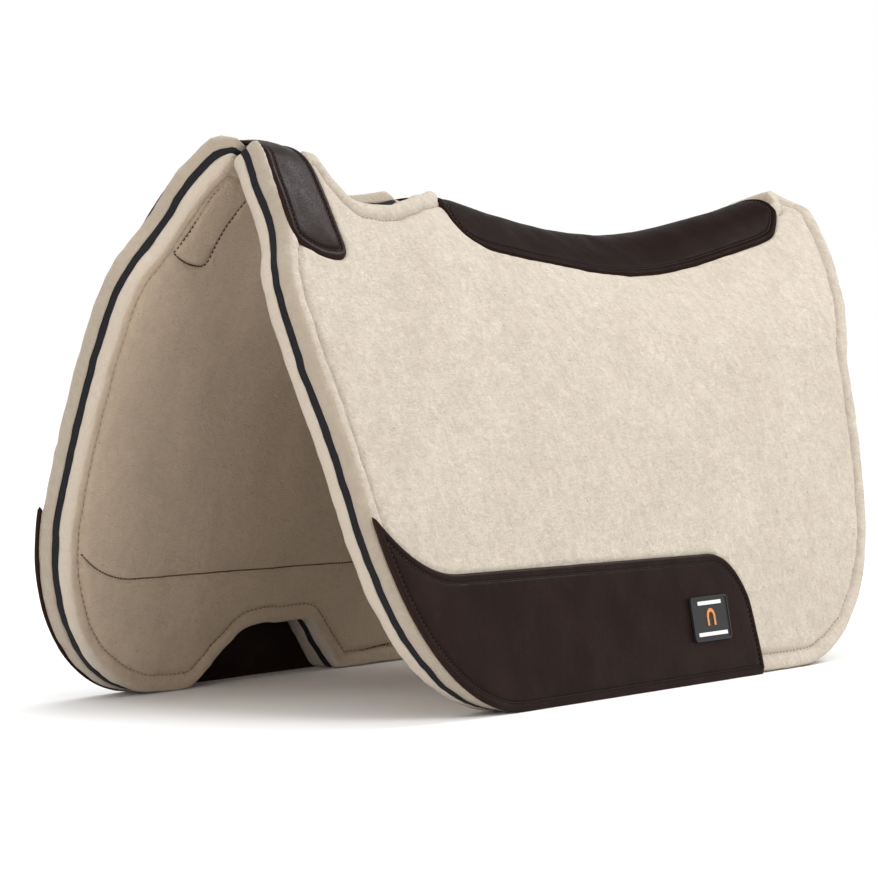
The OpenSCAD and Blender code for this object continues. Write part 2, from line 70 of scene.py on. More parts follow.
# Rows of (u, y of the strap's front side, y of its rear side)
STRAP = [
    [0, -17.5, 34.5], [0.05, -18.7, 34], [0.1, -21.8, 33], [0.15, -25.5, 30.5], [0.2, -28.5, 28],
    [0.28, -31.7, 25], [0.36, -35.3, 23], [0.42, -38.2, 21.5], [0.45, -35.5, 21],
    [0.475, -29.5, 20], [0.5, -18, 18], [0.519, -3, 13],
]
STRAP_MIDDLE = (-9.0, 40.0)
# Knots of the spine leather: y of its ends from the ridge out, and u of its side from front to rear
SPINE_FRONT = [
    [0, 213, -70], [0.25, 200, -25], [0.5, 197, 0], [0.7, 199.5, 20], [0.9, 207, 80], [1, 230, 450]]
SPINE_REAR = [[0, 713, -10], [0.35, 706, -35], [0.7, 690, -70], [0.9, 677, -110], [1, 652, -450]]
SPINE_HALF = [[0, 0.342, 0.06], [0.2, 0.347, 0.04], [0.42, 0.362, 0], [0.64, 0.32, -0.27], [1, 0.232, -0.2]]
SPINE_MIDDLE = (226.0, 722.0)

# Centre of the flank's arc, its angle and length from the bottom edge, and the end of the crown
CX = FLEX_X - FLANK_R * math.cos(LEAN)
CZ = FLEX_Z - FLANK_R * math.sin(LEAN)
ANGLE_0 = math.asin(-CZ / FLANK_R)
W_FLEX = FLANK_R * (LEAN - ANGLE_0)
CROWN_END = np.array([
    FLEX_X - FLEX_GAP / 2 * math.sin(LEAN), FLEX_Z + FLEX_GAP / 2 * math.cos(LEAN)])


# ---- Curves and surfaces ----

def along(knots, x):
    """Reading of a smooth curve through knots of (place, value, slope)."""
    k, x = np.asarray(knots, float), np.asarray(x, float)
    i = np.clip(np.searchsorted(k[:, 0], x, "right") - 1, 0, len(k) - 2)
    a, b = k[i], k[i + 1]
    h = b[..., 0] - a[..., 0]
    t = (x - a[..., 0]) / h
    return (a[..., 1] * (2 * t**3 - 3 * t**2 + 1) + a[..., 2] * h * (t**3 - 2 * t**2 + t)
            + b[..., 1] * (3 * t**2 - 2 * t**3) + b[..., 2] * h * (t**3 - t**2))


def ease(a, b, x):
    """A smooth step from 0 at a to 1 at b."""
    t = np.clip((np.asarray(x, float) - a) / (b - a), 0, 1)
    return t * t * (3 - 2 * t)


def hump(x, middle, width):
    """A smooth rise to 1 at middle that has all but gone two widths away."""
    return np.exp(-((x - middle) / width)**2)


def section(y):
    """Four corners of the crown's cross-section curve at each y, from the ridge to the flex line."""
    y = np.asarray(y, float)
    top = along(RIDGE, y)
    tilt = TILT_DIP + (TILT_FRONT - TILT_DIP) * (top - DIP_Z) / (FRONT_Z - DIP_Z)
    start = np.stack([0.15 + PAD_T * np.sin(tilt), top], -1)
    reach = np.linalg.norm(CROWN_END - start, axis=-1)[..., None] / 3
    end = np.broadcast_to(CROWN_END, start.shape)
    lead = np.stack([np.cos(tilt), -np.sin(tilt)], -1)
    return np.stack([
        start, start + reach * lead,
        end + reach * np.array([-math.sin(LEAN), math.cos(LEAN)]), end], -2)


def bezier(c, t):
    """Points at t on the cubic curves with the corners c."""
    t = t[..., None]
    return (c[..., 0, :] * (1 - t)**3 + c[..., 1, :] * 3 * t * (1 - t)**2
            + c[..., 2, :] * 3 * t**2 * (1 - t) + c[..., 3, :] * t**3)


STEPS = np.linspace(0, 1, 41)


def arc_table(y):
    """Length along the crown's cross-section from the ridge to each step of the curve."""
    c = section(y)
    p = bezier(c[:, None], np.broadcast_to(STEPS, (len(c), len(STEPS))))
    seg = np.linalg.norm(np.diff(p, axis=1), axis=-1)
    return np.concatenate([np.zeros((len(c), 1)), np.cumsum(seg, 1)], 1), c


def read_rows(xs, ys, x):
    """Linear reading of each row's table ys over xs at x."""
    i = np.clip((xs < x[:, None]).sum(1), 1, xs.shape[1] - 1)
    r = np.arange(len(x))
    x0, x1 = xs[r, i - 1], xs[r, i]
    f = (x - x0) / np.maximum(x1 - x0, 1e-9)
    y0, y1 = ys[r, i - 1], ys[r, i]
    f = f.reshape(f.shape + (1,) * (y0.ndim - 1))
    return y0 + (y1 - y0) * f


def ridge_w(y):
    """w of the ridge: the length of the cross-section from the bottom edge up."""
    return W_FLEX + FLEX_GAP / 2 + arc_table(np.atleast_1d(np.asarray(y, float)))[0][:, -1]


def arc_at(y, u):
    """Length from the ridge to share u of the crown's curve."""
    cum, _ = arc_table(y)
    return read_rows(np.broadcast_to(STEPS, cum.shape), cum, np.asarray(u, float))


def crown_w(y, u):
    """w at share u of the crown's cross-section."""
    return ridge_w(y) - arc_at(y, u)


def z_to_w(z):
    """w of a height on the flank."""
    return FLANK_R * (np.arcsin((np.asarray(z, float) - CZ) / FLANK_R) - ANGLE_0)


def curl(y):
    """How far the free corners at the front of the ridge and behind the opening curl up."""
    return (3.6 * hump(y, -27, 13) * (1 - ease(-25, -16, y))
            + 2.8 * hump(y, 200, 11) * (1 - ease(201, 209, y)))


def covered(y):
    """How far the leathers over the ridge press the felt's corners down at y."""
    strap = ease(-18, -14.5, y) * (1 - ease(33, 37, y))
    spine = ease(203, 210, y) * (1 - ease(700, 712, y))
    return 2.4 * (strap + spine)


def tuck(q, y, s, depth):
    """Rolls the front end of the right side over the middle, onto the left side's end.

    s is the distance from the ridge, and depth is 1 on the outer face and 0 on the inner one."""
    share = np.clip(depth, 0, 1.1) * (1 - ease(8, 46, y))
    return q + np.stack([-27 * share * (1 - ease(0, 26, s)), 9 * share * hump(s, 12, 7)], -1)


def place(p, lift, rolled=False):
    """3-D points of the left side, lifted off the outer face, and their outward directions."""
    y, w, lift = p[:, 0], p[:, 1], np.broadcast_to(np.asarray(lift, float), len(p))
    # near the bottom the layers follow the level edge
    w = w - lift * math.tan(ANGLE_0) * (1 - ease(0, 60, w))
    ang = ANGLE_0 + np.minimum(w, W_FLEX) / FLANK_R
    n = np.stack([np.cos(ang), np.sin(ang)], -1)
    q = np.array([CX, CZ]) + FLANK_R * n
    over = np.clip(w - W_FLEX, 0, FLEX_GAP / 2)[:, None]
    q = q + over * np.array([-math.sin(LEAN), math.cos(LEAN)])
    up = w > W_FLEX + FLEX_GAP / 2
    if up.any():
        cum, c = arc_table(y[up])
        s = cum[:, -1] + W_FLEX + FLEX_GAP / 2 - w[up]
        t = read_rows(cum, np.broadcast_to(STEPS, cum.shape), s)
        q[up] = bezier(c, t)
        d = ((c[:, 1] - c[:, 0]) * ((1 - t)**2)[:, None]
             + (c[:, 2] - c[:, 1]) * (2 * t * (1 - t))[:, None] + (c[:, 3] - c[:, 2]) * (t**2)[:, None])
        d /= np.linalg.norm(d, axis=1)[:, None]
        n[up] = np.stack([-d[:, 1], d[:, 0]], -1)
        q[up, 1] += curl(y[up]) * hump(s, 0, 13)
        # at the rear end the sides rise behind the leather and close the groove between them
        q[up, 1] += 5.5 * hump(y[up], 740, 16) * hump(s, 0, 26)
        q[up, 0] *= 1 - 0.96 * ease(716, 742, y[up]) * (1 - ease(2, 22, s))
        # the leathers press the corners of the outer felt down along the groove
        q[up, 1] -= covered(y[up]) * (1 + lift[up] / PAD_T) * hump(s, 0, 9)
    q = q + n * lift[:, None]
    if rolled:
        q = tuck(q, y, np.maximum(ridge_w(y) - w, 0), 1 + lift / PAD_T)
    return (np.stack([q[:, 0], y, q[:, 1]], -1),
            np.stack([n[:, 0], np.zeros(len(y)), n[:, 1]], -1))


# A leather over the ridge meets the felt this far from the ridge, and the bridging part is
# read with this many steps; SNUG is the share of it that lies over the groove itself
BRIDGE, BRIDGE_STEPS, SNUG = 14.0, 15, 0.72


def crest(y):
    """Height of a leather's middle above the ridge line; its free front ends sag into the groove."""
    return 1.6 - 2.4 * hump(y, -12, 14) - 2.0 * hump(y, 222, 16)


def bridge(y):
    """The middle of a leather, which spans the groove along the ridge, and where it meets the felt."""
    cum, c = arc_table(y)
    t1 = read_rows(cum, np.broadcast_to(STEPS, cum.shape), np.full(len(y), BRIDGE))
    a = bezier(c, t1)
    b = bezier(c, np.minimum(t1 + 0.01, 1))
    way = (b - a) / np.linalg.norm(b - a, axis=1)[:, None]
    m = np.stack([np.zeros(len(y)), along(RIDGE, y) + crest(y)], -1)
    pull = np.linalg.norm(a - m, axis=1)[:, None]
    hook = np.stack([m, m + pull * np.array([0.36, 0]), a - 0.36 * pull * way, a], -2)
    return bezier(hook[:, None], np.broadcast_to(
        np.linspace(0, 1, BRIDGE_STEPS), (len(y), BRIDGE_STEPS))), c, t1


def over_ridge(p, lift):
    """Like place, for a leather that crosses the ridge; p is (y, distance from the middle)."""
    y, q = p[:, 0], p[:, 1]
    near, c, t1 = bridge(y)
    ts = t1[:, None] + np.linspace(0, 1, 26)[None, 1:] * (0.85 - t1[:, None])
    line = np.concatenate([near, bezier(c[:, None], ts)], 1)
    seg = np.linalg.norm(np.diff(line, axis=1), axis=-1)
    run = np.concatenate([np.zeros((len(y), 1)), np.cumsum(seg, 1)], 1)
    d = np.gradient(line, axis=1)
    d /= np.linalg.norm(d, axis=-1)[..., None]
    side = np.where(q < 0, -1.0, 1.0)
    pt = read_rows(run, line, np.abs(q))
    dd = read_rows(run, d, np.abs(q))
    dd /= np.linalg.norm(dd, axis=1)[:, None]
    n = np.stack([-dd[:, 1], dd[:, 0]], -1)
    pt = pt + n * np.asarray(lift).reshape(-1, 1)
    return (np.stack([side * pt[:, 0], y, pt[:, 1]], -1),
            np.stack([side * n[:, 0], np.zeros(len(y)), n[:, 1]], -1))


def bridge_len(y):
    """Distance along a leather from its middle to where it meets the felt."""
    near = bridge(np.asarray(y, float))[0]
    return np.linalg.norm(np.diff(near, axis=1), axis=-1).sum(1)


def leather_q(y, u):
    """Distance from the middle of a leather over the ridge to share u of the cross-section."""
    y, s = np.asarray(y, float), arc_at(y, u)
    near = bridge_len(y) * (SNUG + (1 - SNUG) * s / BRIDGE)
    return np.where(s > BRIDGE, bridge_len(y) + s - BRIDGE, near)


# ---- Outlines ----

def rounded(p, r, n):
    """An open line with its corners rounded to the radii r, in n steps each."""
    out, p = [], np.asarray(p, float)
    for i in range(len(p)):
        if r[i] == 0:
            out.append(p[i])
            continue
        ua, uc = p[i - 1] - p[i], p[(i + 1) % len(p)] - p[i]
        ua, uc = ua / np.linalg.norm(ua), uc / np.linalg.norm(uc)
        half = math.acos(np.clip(ua @ uc, -1, 1)) / 2
        m = p[i] + (ua + uc) / np.linalg.norm(ua + uc) * r[i] / math.sin(half)
        pa, pc = p[i] + ua * r[i] / math.tan(half) - m, p[i] + uc * r[i] / math.tan(half) - m
        ang = math.atan2(pa[1], pa[0])
        turn = math.atan2(pa[0] * pc[1] - pa[1] * pc[0], pa @ pc)
        for k in range(n + 1):
            a = ang + turn * k / n
            out.append(m + r[i] * np.array([math.cos(a), math.sin(a)]))
    return np.array(out)


def resample(p, step, closed=True):
    """Points at equal distances along a line or loop."""
    p = np.asarray(p, float)
    if closed:
        p = np.vstack([p, p[:1]])
    run = np.concatenate([[0], np.cumsum(np.linalg.norm(np.diff(p, axis=0), axis=1))])
    n = max(3, int(round(run[-1] / step)))
    at = np.linspace(0, run[-1], n + 1)
    out = np.stack([np.interp(at, run, p[:, 0]), np.interp(at, run, p[:, 1])], -1)
    return out[:-1] if closed else out


def smooth(p, times):
    """A loop with each point drawn towards its neighbours."""
    for _ in range(times):
        p = 0.5 * p + 0.25 * (np.roll(p, 1, 0) + np.roll(p, -1, 0))
    return p


def anticlockwise(p):
    x, y = p[:, 0], p[:, 1]
    return p if (x * np.roll(y, -1) - y * np.roll(x, -1)).sum() > 0 else p[::-1].copy()


def loop_normals(p):
    """Directions into an anticlockwise loop."""
    d = np.roll(p, -1, 0) - np.roll(p, 1, 0)
    d /= np.linalg.norm(d, axis=1)[:, None]
    return np.stack([-d[:, 1], d[:, 0]], -1)


BATCH = 3000


def distance(points, line, closed=True):
    """Distance of each point to a line or loop, in batches."""
    line = np.asarray(line, float)
    a, b = (line, np.roll(line, -1, 0)) if closed else (line[:-1], line[1:])
    ab = b - a
    ll = np.maximum((ab**2).sum(1), 1e-12)
    out = np.empty(len(points))
    for i in range(0, len(points), BATCH):
        p = points[i:i + BATCH, None]
        t = np.clip(((p - a) * ab).sum(-1) / ll, 0, 1)
        out[i:i + BATCH] = np.sqrt((((p - a) - t[..., None] * ab)**2).sum(-1).min(1))
    return out


def inside(points, line):
    """Which points lie inside a loop."""
    a, b = line, np.roll(line, -1, 0)
    out = np.zeros(len(points), bool)
    for i in range(0, len(points), BATCH):
        x, y = points[i:i + BATCH, 0:1], points[i:i + BATCH, 1:2]
        cross = ((a[:, 1] > y) != (b[:, 1] > y)) & (
            x < (b[:, 0] - a[:, 0]) * (y - a[:, 1]) / (b[:, 1] - a[:, 1] + 1e-12) + a[:, 0])
        out[i:i + BATCH] = cross.sum(1) % 2 == 1
    return out


def depth_in(points, line):
    """Distance to a loop, positive inside it."""
    d = distance(points, line)
    return np.where(inside(points, line), d, -d)


def inset_loop(line, d, step):
    """A loop at distance d inside another."""
    p = line + loop_normals(line) * d
    p = p[depth_in(p, line) > d * 0.96]
    return smooth(resample(p, step), 1)


def hole_edge(y0):
    """Half width of the wither opening as a share of the cross-section."""
    s = np.clip((y0 - HOLE_FRONT) / HOLE_NOSE, 0, 1)
    taper = np.clip((y0 - HOLE_REAR + HOLE_TAPER) / HOLE_TAPER, 0, 1)
    return HOLE_HALF * np.sqrt(1 - (1 - s)**2) * (0.5 + 0.5 * np.cos(np.pi * taper))**0.8


def crown_line(y0, u):
    """(y, w) of a place on the crown, with the slanted front edge and the drawn-in rear edge."""
    y0, u = np.broadcast_arrays(np.asarray(y0, float), np.asarray(u, float))
    y = (y0 + along(FRONT_EDGE, u) * (1 - ease(0, 90, y0))
         - (20 * u + 53 * u**2 + 9 * np.exp(-u / 0.06)) * ease(600, RIDGE_LEN, y0))
    return np.stack([y, crown_w(y, u)], -1)


# Corners of the flap's edge as (y, z), and their radii
FLAP = [
    [-62, 240], [-39.5, 0], [128, 0], [185.6, 42], [272, 42], [320, 0], [604, 0], [693, 240]]
FLAP_R = [0, CORNER_R, 14, 36, 22, 14, CORNER_R, 0]


def side_outline():
    """The cut edge of one side: ridge, front edge, bottom with its notch, rear edge and opening."""
    nose = HOLE_FRONT + HOLE_NOSE * (1 - np.cos(np.linspace(0, np.pi / 2, 14)))
    hole = np.concatenate([nose, np.linspace(HOLE_FRONT + HOLE_NOSE, HOLE_REAR, 50)[1:]])
    us = np.linspace(0, 1, 70)
    flap = rounded(FLAP, FLAP_R, 24)
    flap = flap[flap[:, 1] < FLEX_Z]
    return anticlockwise(np.vstack([
        crown_line(np.linspace(0, HOLE_FRONT, 30), 0)[::-1],
        crown_line(0, us)[1:],
        np.stack([flap[:, 0], z_to_w(flap[:, 1])], -1),
        crown_line(RIDGE_LEN, us[::-1]),
        crown_line(np.linspace(RIDGE_LEN, HOLE_REAR, 140), 0)[1:],
        crown_line(hole, hole_edge(hole))[::-1][1:-1],
    ]))


def opened(p):
    """A loop that has lost some of its points, turned so that it starts after its widest gap."""
    return np.roll(p, -int(np.linalg.norm(p - np.roll(p, 1, 0), axis=1).argmax()), 0)


def wear_outline():
    """The wear leather: the side's front bottom corner, cut off by a line with two bends."""
    front = resample(rounded(
        [[FLAP[0][0] - WEAR_PROUD, FLAP[0][1]], [FLAP[1][0] - WEAR_PROUD, 0], [WEAR_LEN, 0],
         [WEAR_LEN, FLAP[0][1]]],
        [0, CORNER_R + WEAR_PROUD, 0, 0], 40), 1.5)
    top = resample(rounded(
        [[-80, WEAR_H + 69], [-80, -20], [WEAR_LEN - 35, -20], [WEAR_LEN - 54, WEAR_H - 1],
         [-7, WEAR_H + 5]], [0, 0, 0, 52, 120], 24), 1.5)
    f, t = opened(front[inside(front, top)]), opened(top[inside(top, front)])
    if np.linalg.norm(f[-1] - t[0]) > np.linalg.norm(f[-1] - t[-1]):
        t = t[::-1]
    p = np.vstack([f, t])
    return anticlockwise(np.stack([p[:, 0], z_to_w(p[:, 1])], -1))


def strap_table():
    """Front and rear side of the strap's left half, as (y, u) rows."""
    s = np.array(STRAP, float)
    return np.stack([s[:, 1], s[:, 0]], -1), np.stack([s[:, 2], s[:, 0]], -1)


def spine_point(a, b):
    """(y, u) of a point of the spine leather: a from the ridge to the side, b from front to rear."""
    f, r = along(SPINE_FRONT, a), along(SPINE_REAR, a)
    return np.stack([f + b * (r - f), a * along(SPINE_HALF, b)], -1)


def ridge_leather_loop(front, rear, middle):
    """Outline of a leather over the ridge in (y, distance from the middle)."""
    f = np.stack([front[:, 0], leather_q(front[:, 0], front[:, 1])], -1)
    r = np.stack([rear[:, 0], leather_q(rear[:, 0], rear[:, 1])], -1)
    half = np.vstack([[[middle[0], 0]], f, r[::-1], [[middle[1], 0]]])
    loop = np.vstack([half, (half * [1, -1])[::-1][1:-1]])
    return anticlockwise(loop)


def chaikin(p, times=2):
    """A loop with its corners cut."""
    for _ in range(times):
        n = np.roll(p, -1, 0)
        p = np.stack([0.75 * p + 0.25 * n, 0.25 * p + 0.75 * n], 1).reshape(-1, 2)
    return p


side_loop = smooth(resample(smooth(resample(side_outline(), 1.2), 3), 3.4), 1)
wear_loop = resample(smooth(resample(wear_outline(), 1.0), 6), 2.6)
strap_front, strap_rear = strap_table()
strap_loop = smooth(resample(smooth(resample(
    chaikin(ridge_leather_loop(strap_front, strap_rear, STRAP_MIDDLE)), 1), 10), 2.4), 1)
ends, sides = np.linspace(0, 1, 16), np.linspace(0, 1, 60)
spine_front = spine_point(ends, 0 * ends)
spine_side = spine_point(0 * sides + 1, sides)
spine_rear = spine_point(ends, 0 * ends + 1)
spine_half = np.vstack([spine_front, spine_side[1:-1], spine_rear[::-1]])
cut = len(spine_front) + len(spine_side) // 2
spine_loop = smooth(resample(chaikin(ridge_leather_loop(
    spine_half[:cut], spine_half[cut:][::-1], SPINE_MIDDLE), 1), 2.8), 4)


def on_side(loop):
    """The left half of a leather over the ridge in the side's own (y, w), open past the ridge."""
    y, q = loop[:, 0], loop[:, 1]
    b = bridge_len(y)
    s = np.where(np.abs(q) > b, np.abs(q) - b + BRIDGE, (np.abs(q) / b - SNUG) / (1 - SNUG) * BRIDGE)
    w = ridge_w(y) - np.where(q > 0, s, -25 - np.abs(q))
    keep = q > 0
    p = np.stack([y, w], -1)
    # the kept half starts and ends at the ridge and is closed above it
    first = int(np.where(keep & ~np.roll(keep, 1))[0][0])
    p = np.roll(p, -first, 0)[:int(keep.sum())]
    p[0, 1] += 30
    p[-1, 1] += 30
    return anticlockwise(p)


strap_on_felt = on_side(strap_loop)
spine_on_felt = on_side(spine_loop)


# ---- Noise ----

def waves(points, wavelength, seed, count=28):
    """Smooth lumps with a standard deviation of about 1, the same in every run."""
    rng = np.random.default_rng(seed)
    k = rng.normal(size=(count, points.shape[1]))
    k /= np.linalg.norm(k, axis=1)[:, None]
    k *= (2 * np.pi / (wavelength * rng.uniform(0.65, 1.5, count)))[:, None]
    return np.cos(points @ k.T + rng.uniform(0, 2 * np.pi, count)).sum(1) * math.sqrt(2 / count)


def rounding(d, r):
    """How far a rounded edge of radius r lies below the face at distance d from it."""
    t = np.clip((r - d) / r, 0, 1)
    return -r * (1 - np.sqrt(np.maximum(0, 1 - t * t)))


# ---- Layers of felt and foam ----

def layer_wave(p, d, side):
    """Waviness of the layers, which fades away from the cut edge."""
    return (0.34 * waves(p, 52, 5 + side) + 0.14 * waves(p, 17, 7 + side)) * np.exp(-d / 14)


# The leathers' outlines, and the level of the felt under each
PRESSED = ((strap_on_felt, -2.9), (spine_on_felt, -2.9), (wear_loop, -0.5))


def outer_lift(p, d, side):
    """Shape of the outer face: rounded edge, stitched channel, lumps, and felt pressed by leather."""
    h = (rounding(d, 3.3) + 0.75 * hump(d, 5.6, 2.9) - 2.3 * hump(d, SEAM, 1.7)
         - 0.9 * hump(d, SEAM + 0.8, 4.6))
    rest = h + 0.42 * waves(p, 85, 11 + side) * ease(0, 30, d) + 0.16 * waves(p, 24, 13 + side) \
        + 0.07 * waves(p, 11, 17 + side)
    for loop, level in PRESSED:
        x = depth_in(p, loop)
        m = ease(-1.8, 1.2, x)
        rest = rest * (1 - m) + level * m + 0.7 * hump(x, -4.6, 2.6) * (1 - m) * ease(2, 9, d)
    return rest


def inner_lift(p, d, side):
    """Shape of the inner face: rounded edge, stitched channel, lumps and the leathers' seams."""
    h = rounding(d, 2.6) + 0.5 * hump(d, 5.2, 2.6) - 1.7 * hump(d, SEAM, 1.6) \
        - 0.7 * hump(d, SEAM + 0.8, 4.6)
    h = h + 0.4 * waves(p, 70, 21 + side) * ease(0, 30, d) + 0.16 * waves(p, 22, 23 + side) \
        + 0.07 * waves(p, 10, 27 + side)
    for line in BACK_SEAMS:
        x = distance(p, line, False)
        h = h - 1.35 * hump(x, 0, 1.7) - 0.5 * hump(x, 0, 5)
    return h


# Where the leathers' stitches come through on the inner felt
strap_box = inset_loop(strap_on_felt, LEATHER_SEAM, 3.0)
strap_box = opened(strap_box[strap_box[:, 1] < ridge_w(strap_box[:, 0]) - 16])
front_line = crown_line(0, np.linspace(1, 0, 40))
strap_box[:, 0] = np.maximum(
    strap_box[:, 0], np.interp(strap_box[:, 1], front_line[:, 1], front_line[:, 0]) + SEAM + 6)
wear_back = inset_loop(wear_loop, LEATHER_SEAM, 3.0)
wear_back = opened(wear_back[distance(wear_back, side_loop) > SEAM + 3.5])
spine_back = inset_loop(spine_on_felt, LEATHER_SEAM, 3.0)
spine_back = opened(spine_back[spine_back[:, 1] < ridge_w(spine_back[:, 0]) - 5])
BACK_SEAMS = (strap_box, wear_back, spine_back)


def rings_of(line, rings):
    """Copies of a loop at each of the distances inside it."""
    n = loop_normals(line)
    out = []
    for r in rings:
        p = line + n * r
        out.append(p[depth_in(p, line) > 0.97 * r])
    return out


def thin(points, gap, kept):
    """Drops the points that lie closer than gap to one already kept."""
    tree = kdtree.KDTree(len(kept) + len(points))
    all_points = np.vstack([kept, points])
    for i, q in enumerate(all_points):
        tree.insert((q[0], q[1], 0), i)
    tree.balance()
    alive = np.ones(len(all_points), bool)
    for i in range(len(kept), len(all_points)):
        q = all_points[i]
        for _, j, _ in tree.find_range((q[0], q[1], 0), gap):
            if j < i and alive[j]:
                alive[i] = False
                break
    return all_points[len(kept):][alive[len(kept):]]


def flat_mesh(line, rings, spacing, features=()):
    """Triangles over a loop: points on it, on rings inside it, along features and on a grid."""
    inner = rings_of(line, rings)
    extra = []
    for path, closed, offsets in features:
        path = np.asarray(path, float)
        d = np.roll(path, -1, 0) - np.roll(path, 1, 0)
        if not closed:
            d[0], d[-1] = path[1] - path[0], path[-1] - path[-2]
        d /= np.maximum(np.linalg.norm(d, axis=1), 1e-9)[:, None]
        n = np.stack([-d[:, 1], d[:, 0]], -1)
        for o in offsets:
            extra.append(path + n * o)
    lo, hi = line.min(0), line.max(0)
    gx, gy = np.meshgrid(np.arange(lo[0], hi[0], spacing), np.arange(lo[1], hi[1], spacing * 0.87))
    gx = gx + (np.arange(gx.shape[0]) % 2)[:, None] * spacing / 2
    grid = np.stack([gx.ravel(), gy.ravel()], -1)
    grid = grid[depth_in(grid, line) > rings[-1] + 0.45 * spacing]
    kept = line
    for group, gap in ((extra, 0.9), (inner, 0.55), ([grid], 0.55 * spacing)):
        if not group:
            continue
        p = np.vstack(group)
        p = p[depth_in(p, line) > 0.3]
        p = thin(p, gap, kept)
        kept = np.vstack([kept, p])
    n = len(line)
    edges = [(i, (i + 1) % n) for i in range(n)]
    v, _, f, orig, _, _ = delaunay_2d_cdt([Vector(q) for q in kept], edges, [], 1, 1e-5)
    index = [o[0] if o else -1 for o in orig]
    if min(index) < 0 or len(v) != len(kept):
        raise RuntimeError("the outline was cut by its own points")
    tris = np.array([[index[i] for i in t] for t in f])
    a, b, c = kept[tris[:, 0]], kept[tris[:, 1]], kept[tris[:, 2]]
    area = (b[:, 0] - a[:, 0]) * (c[:, 1] - a[:, 1]) - (b[:, 1] - a[:, 1]) * (c[:, 0] - a[:, 0])
    tris[area < 0] = tris[area < 0][:, ::-1]
    return kept, tris


def make_object(name, verts, faces, finish, attributes=None):
    """An object from points in millimetres, placed along y as the CAD is."""
    mesh = bpy.data.meshes.new(name)
    v = np.asarray(verts, float) / 1000 - np.array([0, MID_Y / 1000, 0])
    mesh.from_pydata(v.tolist(), [], [list(map(int, f)) for f in faces])
    mesh.update()
    for key, values in (attributes or {}).items():
        layer = mesh.attributes.new(key, "FLOAT", "POINT")
        layer.data.foreach_set("value", np.asarray(values, np.float32))
    mesh.polygons.foreach_set("use_smooth", [True] * len(mesh.polygons))
    obj = bpy.data.objects.new(name, mesh)
    bpy.context.scene.collection.objects.link(obj)
    mesh.materials.append(finish)
    return obj


def shell(top, bottom, walls, n, tris_top, tris_bottom):
    """Closed mesh from a top, a bottom and rows of wall points between their outlines."""
    verts = np.vstack([top, bottom] + walls)
    faces = [tuple(t) for t in tris_top] + [tuple(t[::-1] + len(top)) for t in tris_bottom]
    rows = [np.arange(n)] + [
        np.arange(n) + len(top) + len(bottom) + n * k for k in range(len(walls))
    ] + [np.arange(n) + len(top)]
    for up, down in zip(rows[:-1], rows[1:]):
        for i in range(n):
            j = (i + 1) % n
            faces.append((up[j], up[i], down[i], down[j]))
    return verts, faces


def mirrored(verts, faces):
    return verts * [-1, 1, 1], [tuple(reversed(f)) for f in faces]


# Rings of mesh points inside a cut edge, and the spacing of hidden and of visible faces
EDGE_RINGS = (0.35, 1.0, 1.9, 3.2, 5.2, 7.6, 9.6, 10.8, 11.6, 12.4, 13.2, 14.4, 17.0, 21.0)
COARSE = 24.0
FINE = 5.2


# ---- Materials ----

def material(name):
    """A new material with its node tree and shader."""
    m = bpy.data.materials.new(name)
    m.use_nodes = True
    nt = m.node_tree
    return m, nt, nt.nodes["Principled BSDF"]


def node(nt, kind, inputs=None, **props):
    n = nt.nodes.new(kind)
    for k, v in props.items():
        setattr(n, k, v)
    for k, v in (inputs or {}).items():
        n.inputs[k].default_value = v
    return n


def link(nt, a, b):
    nt.links.new(a, b)


def noise(nt, where, scale, detail=3.0, rough=0.55, distortion=0.0):
    n = node(nt, "ShaderNodeTexNoise",
             {"Scale": scale, "Detail": detail, "Roughness": rough, "Distortion": distortion})
    link(nt, where, n.inputs["Vector"])
    return n.outputs["Fac"]


def span(nt, value, lo, hi, to_lo=0.0, to_hi=1.0):
    """A value read from lo..hi onto to_lo..to_hi."""
    n = node(nt, "ShaderNodeMapRange",
             {"From Min": lo, "From Max": hi, "To Min": to_lo, "To Max": to_hi})
    link(nt, value, n.inputs["Value"])
    return n.outputs["Result"]


def mix(nt, factor, a, b):
    """A blend of two colours, all a at 0 and all b at 1."""
    n = node(nt, "ShaderNodeMix", data_type="RGBA")
    if isinstance(factor, (int, float)):
        n.inputs["Factor"].default_value = factor
    else:
        link(nt, factor, n.inputs["Factor"])
    for key, v in (("A", a), ("B", b)):
        socket = [s for s in n.inputs if s.name == key and s.type == "RGBA"][0]
        if isinstance(v, tuple):
            socket.default_value = (*v, 1)
        else:
            link(nt, v, socket)
    return [s for s in n.outputs if s.type == "RGBA"][0]


def maths(nt, what, a, b):
    n = node(nt, "ShaderNodeMath", operation=what)
    for i, v in enumerate((a, b)):
        if isinstance(v, (int, float)):
            n.inputs[i].default_value = v
        else:
            link(nt, v, n.inputs[i])
    return n.outputs[0]


def attribute(nt, name):
    """A value that make_object stored on the mesh."""
    return node(nt, "ShaderNodeAttribute", attribute_name=name).outputs["Fac"]


def bump(nt, shader, height, depth, strength):
    n = node(nt, "ShaderNodeBump", {"Distance": depth, "Strength": strength})
    link(nt, height, n.inputs["Height"])
    link(nt, n.outputs["Normal"], shader.inputs["Normal"])


